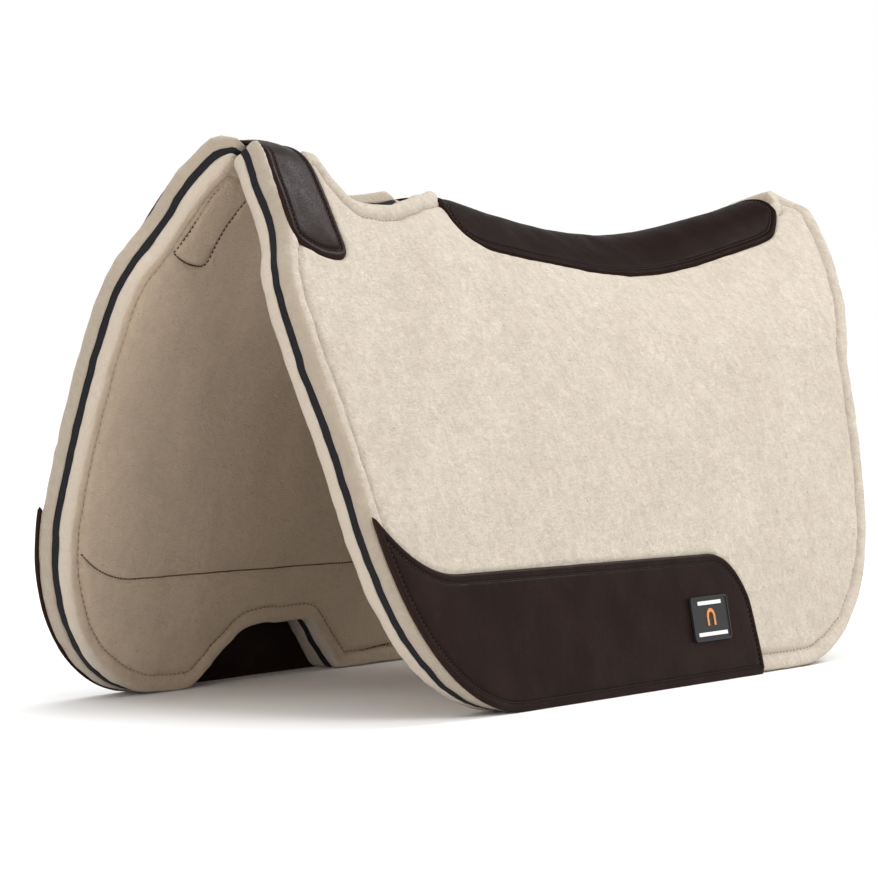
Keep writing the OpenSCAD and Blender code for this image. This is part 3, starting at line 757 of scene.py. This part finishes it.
def felt(name, pale, base, deep, cut, speck):
    """Pressed wool: mottled colour, tangled fibres, dark flecks and a rougher cut edge."""
    m, nt, bsdf = material(name)
    at = node(nt, "ShaderNodeTexCoord").outputs["Object"]
    cloud = span(nt, noise(nt, at, 16, 4, 0.6), 0.35, 0.68)
    fine = span(nt, noise(nt, at, 120, 5, 0.65, 0.8), 0.32, 0.7)
    colour = mix(nt, maths(nt, "MULTIPLY", cloud, 0.8), pale, base)
    colour = mix(nt, maths(nt, "MULTIPLY", fine, 0.45), colour, deep)
    stretched = node(nt, "ShaderNodeMapping", {"Scale": (1.0, 0.3, 1.0), "Rotation": (0.15, 0, 0.1)})
    link(nt, at, stretched.inputs["Vector"])
    hair = noise(nt, stretched.outputs["Vector"], 480, 4, 0.75, 2.2)
    colour = mix(nt, span(nt, hair, 0.5, 0.74, 0, 0.7), colour, deep)
    colour = mix(nt, span(nt, hair, 0.44, 0.26, 0, 0.7), colour, pale)
    dots = node(nt, "ShaderNodeTexVoronoi", {"Scale": 210.0, "Randomness": 1.0})
    link(nt, at, dots.inputs["Vector"])
    rare = span(nt, noise(nt, at, 95, 1), 0.6, 0.66)
    flecks = maths(nt, "MULTIPLY", span(nt, dots.outputs["Distance"], 0.2, 0.1), rare)
    colour = mix(nt, maths(nt, "MULTIPLY", flecks, 0.5), colour, speck)
    edge = attribute(nt, "cut")
    colour = mix(nt, maths(nt, "MULTIPLY", edge, span(nt, fine, 0, 1, 0.72, 1)), colour, cut)
    link(nt, colour, bsdf.inputs["Base Color"])
    bsdf.inputs["Roughness"].default_value = 0.94
    bsdf.inputs["Specular IOR Level"].default_value = 0.18
    bsdf.inputs["Sheen Weight"].default_value = 0.3
    bsdf.inputs["Sheen Roughness"].default_value = 0.55
    bsdf.inputs["Sheen Tint"].default_value = (1, 0.96, 0.9, 1)
    lumps = maths(nt, "MULTIPLY", noise(nt, at, 170, 4, 0.6, 0.6), 1.5)
    bump(nt, bsdf, maths(nt, "ADD", lumps, hair), 0.0012, 0.85)
    return m


def leather_material(name, dark, pale, gloss):
    """Oiled dark brown leather: fine grain, uneven dye, painted shade in the sewn grooves and a brown cut
    edge.
    """
    m, nt, bsdf = material(name)
    at = node(nt, "ShaderNodeTexCoord").outputs["Object"]
    cloud = span(nt, noise(nt, at, 22, 4, 0.6), 0.35, 0.7)
    colour = mix(nt, cloud, dark, pale)
    pores = node(nt, "ShaderNodeTexVoronoi", {"Scale": 950.0, "Randomness": 1.0})
    link(nt, at, pores.inputs["Vector"])
    colour = mix(nt, span(nt, pores.outputs["Distance"], 0.12, 0.4, 0.3, 0), colour, (0.008, 0.005, 0.0045))
    # painted shade: the sewn groove, marked by the groove attribute, is darkened as if shaded
    colour = mix(nt, maths(nt, "MULTIPLY", attribute(nt, "groove"), 0.7), colour, (0.005, 0.003, 0.0028))
    fuzz = noise(nt, at, 500, 3)
    edge = maths(nt, "MULTIPLY", attribute(nt, "cut"), span(nt, fuzz, 0.35, 0.65, 0.55, 1))
    colour = mix(nt, edge, colour, (0.028, 0.014, 0.010))
    link(nt, colour, bsdf.inputs["Base Color"])
    rough = span(nt, noise(nt, at, 60, 4, 0.6), 0.3, 0.7, 0.28, 0.4)
    link(nt, maths(nt, "ADD", rough, maths(nt, "MULTIPLY", attribute(nt, "cut"), 0.25)),
         bsdf.inputs["Roughness"])
    bsdf.inputs["Specular IOR Level"].default_value = gloss
    crease = noise(nt, at, 260, 5, 0.6, 1.2)
    pits = maths(nt, "MULTIPLY", span(nt, pores.outputs["Distance"], 0, 0.45), 0.7)
    grain = maths(nt, "ADD", pits, crease)
    bump(nt, bsdf, grain, 0.00022, 0.6)
    return m


def plain(name, colour, other, rough, scale, depth, spec=0.4):
    """A finish whose colour and surface vary a little."""
    m, nt, bsdf = material(name)
    at = node(nt, "ShaderNodeTexCoord").outputs["Object"]
    n = noise(nt, at, scale, 4, 0.6)
    link(nt, mix(nt, span(nt, n, 0.35, 0.68), colour, other), bsdf.inputs["Base Color"])
    link(nt, span(nt, n, 0.3, 0.7, rough - 0.06, rough + 0.06), bsdf.inputs["Roughness"])
    bsdf.inputs["Specular IOR Level"].default_value = spec
    bump(nt, bsdf, n, depth, 0.6)
    return m


OUTER_FELT = felt("outer_felt", (0.555, 0.484, 0.40), (0.475, 0.408, 0.332), (0.265, 0.213, 0.16),
                  (0.37, 0.30, 0.225), (0.10, 0.065, 0.04))
INNER_FELT = felt("inner_felt", (0.54, 0.42, 0.303), (0.485, 0.373, 0.264), (0.37, 0.28, 0.193),
                  (0.53, 0.455, 0.37), (0.12, 0.08, 0.05))
CORE = plain("core", (0.008, 0.008, 0.0095), (0.017, 0.016, 0.018), 0.85, 900, 0.0004, 0.15)
LEATHER = leather_material("leather", (0.0125, 0.0068, 0.0060), (0.019, 0.0102, 0.0085), 0.012)
# the leather over the spine is seen at a flat angle, where gloss turns grey, so it gets a drier finish; its
# base colour is also darker than the strap's, which is painted shade on the same leather
SHADED_SPINE_LEATHER = leather_material("shaded_spine_leather", (0.008, 0.0038, 0.0033), (0.0125, 0.0058, 0.0048), 0.002)
DARK_THREAD = plain("dark_thread", (0.022, 0.014, 0.011), (0.045, 0.031, 0.023), 0.6, 2500, 0.0001, 0.05)
TAN_THREAD = plain("tan_thread", (0.26, 0.19, 0.125), (0.36, 0.275, 0.19), 0.8, 2500, 0.0001, 0.2)
LABEL_BLACK = plain("label_rubber", (0.008, 0.008, 0.009), (0.014, 0.013, 0.013), 0.5, 700, 0.00006, 0.2)
LABEL_ORANGE = plain("label_orange", (0.62, 0.22, 0.045), (0.5, 0.16, 0.03), 0.5, 700, 0.00004)
LABEL_WHITE = plain("label_white", (0.72, 0.71, 0.68), (0.6, 0.59, 0.57), 0.5, 700, 0.00004)


# ---- Building the layers ----

def wavy(line, seed, inward):
    """A layer's own cut line: a little in from the outline, and never quite straight."""
    n = waves(line, 30, seed) * 0.26 + waves(line, 11, seed + 1) * 0.1
    return line + loop_normals(line) * np.clip(inward + n, 0.05, None)[:, None]


def wall_rows(line, upper, lower, shares, bulge, rolled):
    """Rows of points between the top and the bottom edge, pushed out of the cut face."""
    out = -loop_normals(line)
    rows = []
    for s in shares:
        p = line + out * (bulge * 4 * s * (1 - s))
        rows.append(place(p, upper + (lower - upper) * s, rolled)[0])
    return rows


outer_line = wavy(side_loop, 31, 0.35)
core_line = wavy(side_loop, 41, 0.55)
inner_line = wavy(side_loop, 51, 0.4)
leather_features = [
    (loop, True, (-7, -4.6, -2.8, -1.4, 0, 1.4)) for loop, _ in PRESSED]
outer_fine = flat_mesh(outer_line, EDGE_RINGS, FINE, leather_features)
outer_coarse = flat_mesh(outer_line, (10,), COARSE)
core_coarse = flat_mesh(core_line, (10,), COARSE)
inner_coarse = flat_mesh(inner_line, (10,), COARSE)
inner_fine = flat_mesh(inner_line, EDGE_RINGS, FINE, [
    (line, False, (-3.4, -1.7, 0, 1.7, 3.4)) for line in BACK_SEAMS])

SIDES = ((1, "left"), (-1, "right"))
# Levels of the faces between the layers, and the gap that keeps the layers apart
UNDER_OUTER, UNDER_CORE, GAP = -OUTER_T + 0.4, -OUTER_T - CORE_T - 0.6, 0.12
CUT_FADE = (0.4, 2.6)
WALL_SHARES = (0.22, 0.5, 0.78)


def level(z):
    """Lift of a hidden face at the level z."""
    return lambda p, d, side: z + layer_wave(p, d, side)


def inner_face(p, d, side):
    return -PAD_T - inner_lift(p, d, side)


def build_layer(layer, side, way, top, bottom, top_lift, bottom_lift, line, bulge, finish):
    """One closed layer of felt or foam on one side, bending from the crown into the flap."""
    (pt, tt), (pb, tb) = top, bottom
    n = len(line)
    dt, db = depth_in(pt, line), depth_in(pb, line)
    dt[:n] = db[:n] = 0
    lt, lb = top_lift(pt, dt, side), bottom_lift(pb, db, side)
    rolled = side < 0
    rows = wall_rows(line, lt[:n], lb[:n], WALL_SHARES, bulge, rolled)
    verts, faces = shell(place(pt, lt, rolled)[0], place(pb, lb, rolled)[0], rows, n, tt, tb)
    cut = np.concatenate([1 - ease(*CUT_FADE, dt), 1 - ease(*CUT_FADE, db), np.ones(n * len(rows))])
    if side < 0:
        verts, faces = mirrored(verts, faces)
    obj = make_object(f"{layer}_{way}", verts, faces, finish, {"cut": cut})
    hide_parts(f"crown_{layer}_{way}", f"flap_{layer}_{way}")
    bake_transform(obj)


for side, way in SIDES:
    build_layer("outer_felt", side, way, outer_fine, outer_coarse, outer_lift, level(UNDER_OUTER),
                outer_line, 0.35, OUTER_FELT)
    build_layer("core", side, way, core_coarse, core_coarse, level(UNDER_OUTER - GAP),
                level(UNDER_CORE), core_line, 0.2, CORE)
    build_layer("inner_felt", side, way, inner_coarse, inner_fine, level(UNDER_CORE - GAP),
                inner_face, inner_line, 0.35, INNER_FELT)


# ---- Leathers ----

LEATHER_RINGS = (0.25, 0.6, 1.1, 1.8, 2.7, 3.7, 4.6, 5.3, 5.8, 6.2, 6.8, 7.8, 9.6, 12.5)


def leather_lift(p, d, base, puff, seed):
    """Shape of a leather's face: rounded cut edge, sewn groove beside it and a slight swell."""
    return (base + rounding(d, 1.3) + 0.28 * hump(d, 2.9, 1.6) - 0.75 * hump(d, LEATHER_SEAM, 0.95)
            - 0.2 * hump(d, LEATHER_SEAM, 2.8) + puff * ease(7, 24, d)
            + 0.12 * waves(p, 45, seed) + 0.03 * waves(p, 9, seed + 1))


def build_leather(name, loop, surface, base, under, puff, seed, side, nodes, body,
                  finish=LEATHER):
    """A closed sheet of leather over a loop, carried by one body."""
    (pt, tt), (pb, tb) = flat_mesh(loop, LEATHER_RINGS, 4.6), flat_mesh(loop, (8,), 9.0)
    n = len(loop)
    dt, db = depth_in(pt, loop), depth_in(pb, loop)
    dt[:n] = db[:n] = 0
    lt = leather_lift(pt, dt, base, puff, seed)
    lb = np.full(len(pb), float(under)) - rounding(db, 0.8)
    out = -loop_normals(loop)
    rows = [
        surface(loop + out * 0.2, lt[:n] * (1 - s) + lb[:n] * s)[0] for s in (0.35, 0.7)]
    verts, faces = shell(surface(pt, lt)[0], surface(pb, lb)[0], rows, n, tt, tb)
    cut = np.concatenate([1 - ease(0.1, 1.0, dt), 1 - ease(0.1, 1.0, db), np.ones(2 * n)])
    # where the sewn groove runs, which the leather's material darkens as painted shade
    groove = np.concatenate([hump(dt, LEATHER_SEAM, 1.5), np.zeros(len(pb) + 2 * n)])
    if side < 0:
        verts, faces = mirrored(verts, faces)
    obj = make_object(name, verts, faces, finish, {"cut": cut, "groove": groove})
    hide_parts(*nodes)
    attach(obj, body)


# Level of each leather's top and underside above the felt's face, swell of its middle, and noise seed
RIDGE_BASE, RIDGE_UNDER, RIDGE_PUFF = 0.5, -2.6, 0.5
WEAR_BASE, WEAR_UNDER, WEAR_PUFF = LEATHER_T - 0.35, -0.3, 0.42
STRAP_SEED, SPINE_SEED, WEAR_SEED = 61, 65, 69
build_leather("wither_strap_leather", strap_loop, over_ridge, RIDGE_BASE, RIDGE_UNDER, RIDGE_PUFF,
              STRAP_SEED, 1, ["wither_strap"], "crown")
build_leather("spine_leather_cover", spine_loop, over_ridge, RIDGE_BASE, RIDGE_UNDER, RIDGE_PUFF,
              SPINE_SEED, 1, ["spine_leather"], "crown", SHADED_SPINE_LEATHER)
for side, way in SIDES:
    build_leather(f"wear_leather_cover_{way}", wear_loop, place, WEAR_BASE, WEAR_UNDER, WEAR_PUFF,
                  WEAR_SEED + side, side, [f"wear_leather_{way}"], f"flap_{way}")


# ---- Stitches ----

# Rings of a stitch: place along its half length, and height and width as shares of its radius
SHAPE = ((-1.0, -0.9, 0.45), (-0.62, 0.25, 0.92), (0.0, 0.7, 1.0), (0.62, 0.25, 0.92),
         (1.0, -0.9, 0.45))


def stitch_rows(path, closed, pitch, length, radius, surface, lift_of, keep=None):
    """Points and faces of one stitch after another along a path on a surface."""
    step, corners = 0.5, 6
    line = resample(path, step, closed)
    run_end = len(line) * step
    count = int(run_end / pitch)
    mid = (np.arange(count) + 0.5) * run_end / count / step
    rings = []
    for share, rise, _ in SHAPE:
        at = mid + share * length / 2 / step
        at = at % len(line) if closed else np.clip(at, 0, len(line) - 1.001)
        i = at.astype(int)
        f = (at - i)[:, None]
        p = line[i] * (1 - f) + line[(i + 1) % len(line)] * f
        rings.append((p, rise * radius))
    ok = np.ones(count, bool) if keep is None else keep(rings[2][0])
    base = lift_of(rings[2][0])
    c = np.stack([surface(p, base + rise)[0] for p, rise in rings], 1)[ok]
    normal = surface(rings[2][0], base)[1][ok]
    way = c[:, -1] - c[:, 0]
    way /= np.linalg.norm(way, axis=1)[:, None]
    across = np.cross(way, normal)
    across /= np.linalg.norm(across, axis=1)[:, None]
    verts = np.empty((len(c), len(SHAPE), corners, 3))
    for k, (_, _, width) in enumerate(SHAPE):
        for j in range(corners):
            a = 2 * math.pi * j / corners
            verts[:, k, j] = c[:, k] + radius * width * (
                math.cos(a) * across + 0.8 * math.sin(a) * normal)
    faces = []
    ring = len(SHAPE) * corners
    for s in range(len(c)):
        o = s * ring
        faces.append([o + j for j in reversed(range(corners))])
        faces.append([o + ring - corners + j for j in range(corners)])
        for k in range(len(SHAPE) - 1):
            for j in range(corners):
                a, b = o + k * corners + j, o + k * corners + (j + 1) % corners
                faces.append([a, b, b + corners, a + corners])
    return verts.reshape(-1, 3), faces


def back_place(p, lift):
    """The inner face: lift is measured from it, towards the horse."""
    q, n = place(p, -PAD_T - np.asarray(lift))
    return q, -n


def join_rows(parts):
    """Several meshes as one."""
    verts, faces, at = [], [], 0
    for v, f in parts:
        verts.append(v)
        faces += [[i + at for i in face] for face in f]
        at += len(v)
    return np.vstack(verts), faces


def both(part):
    """A left part with its mirror image."""
    return join_rows([part, mirrored(*part)])


def finish_stitches(name, rows, mat, nodes, body, side=1, bend=None):
    """Rows of stitches as one object, on its body or bending into the flap."""
    v, f = rows
    if side < 0:
        v, f = mirrored(v, f)
    obj = make_object(name, v, f, mat)
    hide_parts(*nodes)
    if bend:
        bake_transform(obj)
    else:
        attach(obj, body)


# Level of the stitches in the leathers' grooves and in the channels of both felts

def on_leather(base, puff, seed):
    return lambda p: leather_lift(p, np.full(len(p), LEATHER_SEAM), base, puff, seed) + 0.12


def on_outer(side):
    return lambda p: outer_lift(p, np.full(len(p), SEAM), side) - 0.12


def on_inner(side):
    return lambda p: inner_lift(p, np.maximum(depth_in(p, inner_line), SEAM), side) + 0.15


outer_path = inset_loop(outer_line, SEAM, 2.0)
inner_path = inset_loop(inner_line, SEAM, 2.0)


def clear_of_leather(p):
    """Which stitches of the outer felt aren't under a leather."""
    return np.all([depth_in(p, loop) < -1.0 for loop, _ in PRESSED], axis=0)


def in_felt(p):
    """Which stitches of a leather come through the felt and don't miss its edge."""
    return depth_in(p, inner_line) > 2.5


# Distance from stitch to stitch, length and radius of a stitch, on the leathers and on the felt
PITCH, LONG, THICK = 3.4, 2.5, 0.55
FELT_PITCH, FELT_LONG, FELT_THICK = 5.2, 3.8, 0.5
for name, loop, back, seed, nodes in (
        ("strap_stitches", strap_loop, strap_box, STRAP_SEED, ["wither_strap_stitching"]),
        ("spine_stitches", spine_loop, spine_back, SPINE_SEED, ["spine_leather_stitching"])):
    path = inset_loop(loop, LEATHER_SEAM, 1.5)
    top = stitch_rows(path, True, PITCH, LONG, THICK, over_ridge,
                      on_leather(RIDGE_BASE, RIDGE_PUFF, seed))
    under = both(stitch_rows(back, False, PITCH, LONG, THICK, back_place, on_inner(1), in_felt))
    finish_stitches(name, join_rows([top, under]), DARK_THREAD, nodes, "crown")

wear_path = inset_loop(wear_loop, LEATHER_SEAM, 1.5)
for side, way in SIDES:
    rows = join_rows([
        stitch_rows(wear_path, True, PITCH, LONG, THICK, place,
                    on_leather(WEAR_BASE, WEAR_PUFF, WEAR_SEED + side)),
        stitch_rows(wear_back, False, PITCH, LONG, THICK, back_place, on_inner(side), in_felt)])
    finish_stitches(f"wear_stitches_{way}", rows, DARK_THREAD,
                    [f"wear_leather_stitching_{way}"], f"flap_{way}", side)
    rows = join_rows([
        stitch_rows(outer_path, True, FELT_PITCH, FELT_LONG, FELT_THICK, place,
                    on_outer(side), clear_of_leather),
        stitch_rows(inner_path, True, FELT_PITCH, FELT_LONG, FELT_THICK, back_place,
                    on_inner(side))])
    finish_stitches(f"edge_stitches_{way}", rows, TAN_THREAD,
                    [f"crown_edge_stitching_{way}", f"flap_edge_stitching_{way}"], None, side,
                    f"flap_{way}")


def cross_threads():
    """Threads from side to side in the groove along the ridge."""
    parts, rings, corners = [], 7, 6
    last = (rings - 1) * corners
    for lo, hi in ((-19, HOLE_FRONT - 10), (HOLE_REAR + 4, RIDGE_LEN - 3)):
        ys = np.arange(lo, hi, 5.5)
        c = section(ys)
        tilt = np.arctan2(c[:, 0, 1] - c[:, 1, 1], c[:, 1, 0] - c[:, 0, 0])
        low = along(RIDGE, ys) - PAD_T * np.cos(tilt)
        for k, y in enumerate(ys):
            rise, reach = 4.2, 4.2 * math.tan(tilt[k]) + 0.9
            xs = np.linspace(-1, 1, rings)
            mid = np.stack([xs * reach, y + xs * 1.6 * (-1)**k, low[k] + rise - 1.1 * xs**2], -1)
            wide = 0.62 * np.array([0.6, 1, 1, 1, 1, 1, 0.6])
            v = [mid[i] + wide[i] * np.array([0, math.cos(a), math.sin(a)])
                 for i in range(rings) for a in np.linspace(0, 2 * np.pi, corners + 1)[:-1]]
            f = [[j for j in reversed(range(corners))], [last + j for j in range(corners)]]
            for i in range(0, last, corners):
                for j in range(corners):
                    a, b = i + j, i + (j + 1) % corners
                    f.append([a, b, b + corners, a + corners])
            parts.append((np.array(v), f))
    return join_rows(parts)


finish_stitches("ridge_seam_threads", cross_threads(), TAN_THREAD,
                ["ridge_seam_stitching"], "crown")


# ---- Label: its CAD pieces with softened edges ----

for _, way in SIDES:
    for part, mat, width in (("label_patch", LABEL_BLACK, 0.35), ("label_emblem", LABEL_ORANGE, 0.12),
                             ("label_bars", LABEL_WHITE, 0.12)):
        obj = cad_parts[f"{part}_{way}"]
        obj.data.materials.clear()
        obj.data.materials.append(mat)
        soften = obj.modifiers.new("soften", "BEVEL")
        soften.width, soften.segments = width / 1000, 2
        soften.limit_method, soften.angle_limit = "ANGLE", math.radians(40)


# ---- Floor, light and camera ----

# a flat disc, pale grey under the pad and white further out: the whiter far floor is painted light, making
# up for the lamps lighting it less so that it still shows white
FLOOR_R, FADE_FROM, FADE_TO = 14.0, 1, 5
FLOOR_NEAR, FLOOR_FAR = (0.9, 0.9, 0.9), (1.0, 1.0, 1.0)
turns = np.linspace(0, 2 * math.pi, 96, endpoint=False)
floor_mesh = bpy.data.meshes.new("floor")
floor_mesh.from_pydata([(FLOOR_R * math.cos(a), FLOOR_R * math.sin(a), 0) for a in turns], [],
                       [list(range(len(turns)))])
floor = bpy.data.objects.new("floor", floor_mesh)
bpy.context.scene.collection.objects.link(floor)
floor_mat, floor_nt, floor_bsdf = material("floor")
reach = node(floor_nt, "ShaderNodeVectorMath", operation="LENGTH")
link(floor_nt, node(floor_nt, "ShaderNodeTexCoord").outputs["Object"], reach.inputs[0])
far = span(floor_nt, reach.outputs["Value"], FADE_FROM, FADE_TO)
link(floor_nt, mix(floor_nt, far, FLOOR_NEAR, FLOOR_FAR), floor_bsdf.inputs["Base Color"])
floor_bsdf.inputs["Roughness"].default_value = 0.9
floor_bsdf.inputs["Specular IOR Level"].default_value = 0
floor_mesh.materials.append(floor_mat)

world = bpy.data.worlds.new("studio")
bpy.context.scene.world = world
world.use_nodes = True
world.node_tree.nodes["Background"].inputs["Color"].default_value = (1, 1, 1, 1)
world.node_tree.nodes["Background"].inputs["Strength"].default_value = 1.0


def area_light(name, where, target, size, power):
    """A square lamp turned towards a target."""
    data = bpy.data.lights.new(name, "AREA")
    data.size, data.energy = size, power
    obj = bpy.data.objects.new(name, data)
    obj.location = where
    obj.rotation_euler = (Vector(target) - Vector(where)).to_track_quat("-Z", "Y").to_euler()
    bpy.context.scene.collection.objects.link(obj)


area_light("key", (2.6, -0.6, 2.2), (0, 0, 0.2), 1.8, 42)
area_light("top", (-0.3, 0.2, 2.6), (0, 0, 0.2), 1.6, 20)
area_light("front", (0.9, -3.4, 0.24), (-0.12, 0, 0.03), 1.2, 30)
area_light("sheen", (0.58, 2.3, 1.76), (0.05, 0, 0.33), 0.7, 30)

AZIMUTH, ELEVATION = math.radians(30.5), math.radians(2.2)
CAMERA_AT, FOCAL = (1.7838, -3.1322, 0.3036), 210.4
camera_data = bpy.data.cameras.new("camera")
camera_data.sensor_width = 36
camera_data.lens = FOCAL
camera_data.clip_end = 60
camera = bpy.data.objects.new("camera", camera_data)
bpy.context.scene.collection.objects.link(camera)
back = Vector((math.sin(AZIMUTH) * math.cos(ELEVATION), -math.cos(AZIMUTH) * math.cos(ELEVATION),
               math.sin(ELEVATION)))
right = Vector((math.cos(AZIMUTH), math.sin(AZIMUTH), 0))
up = back.cross(right)
turn = Matrix((right, up, back)).transposed()
camera.matrix_world = Matrix.Translation(CAMERA_AT) @ turn.to_4x4()
bpy.context.scene.camera = camera
bpy.context.scene.view_settings.view_transform = "Standard"
